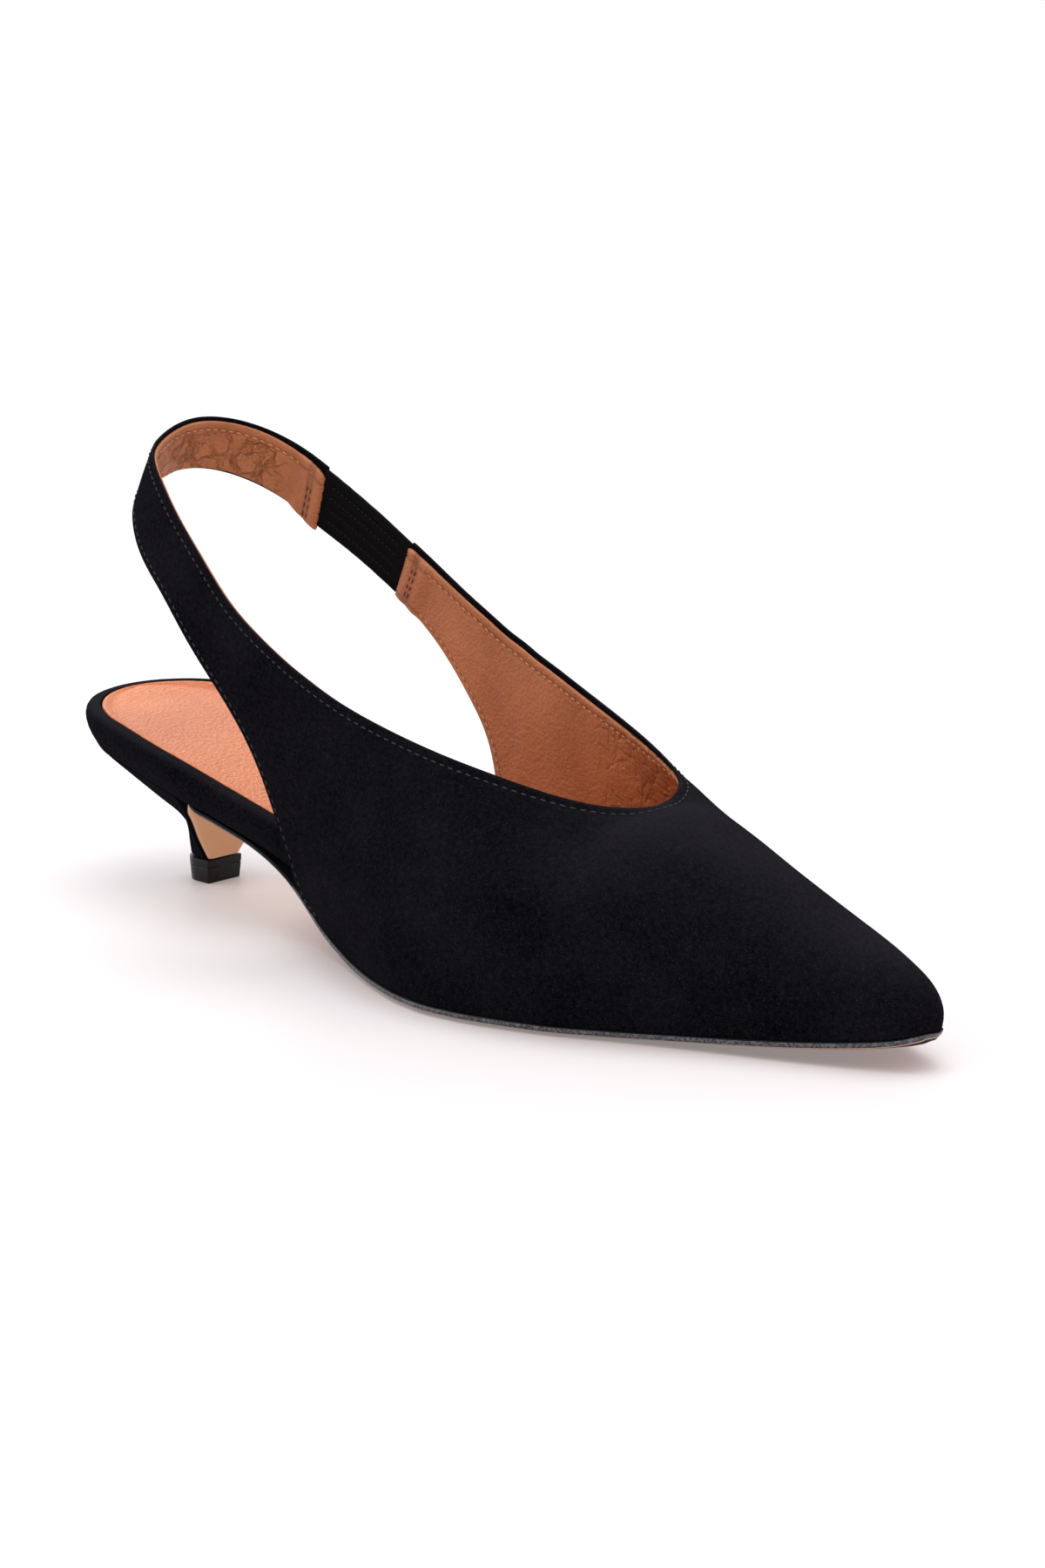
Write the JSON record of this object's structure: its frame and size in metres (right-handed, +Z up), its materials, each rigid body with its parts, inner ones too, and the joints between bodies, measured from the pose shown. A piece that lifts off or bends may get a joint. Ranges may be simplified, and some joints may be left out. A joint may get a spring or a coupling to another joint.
{
  "type": "slingback pump",
  "caption": "Pointed-toe slingback pump with a low kitten heel, covered seat platform, tan lining and an elastic strip in the strap",
  "frame": {"origin": "middle of the top piece's floor face, under the heel", "axes": "+X runs from the heel to the toe, +Y to the inner side of the foot, +Z up from the floor"},
  "size_m": [0.2695, 0.081, 0.1207],
  "materials": {
    "outsole": "smooth tan sole leather with a black edge",
    "insole_platform": "black suede, matt",
    "sock": "soft tan leather, low sheen",
    "heel": "black suede, matt",
    "top_piece": "black, satin",
    "upper": "black suede outside, tan leather inside",
    "elastic_gore": "black ribbed elastic"
  },
  "bodies": {
    "root": {"outsole": "outsole", "insole_platform": "insole_platform", "sock": "sock", "heel": "heel", "top_piece": "top_piece", "upper": "upper", "elastic_gore": "elastic_gore"}
  },
  "joints": []
}
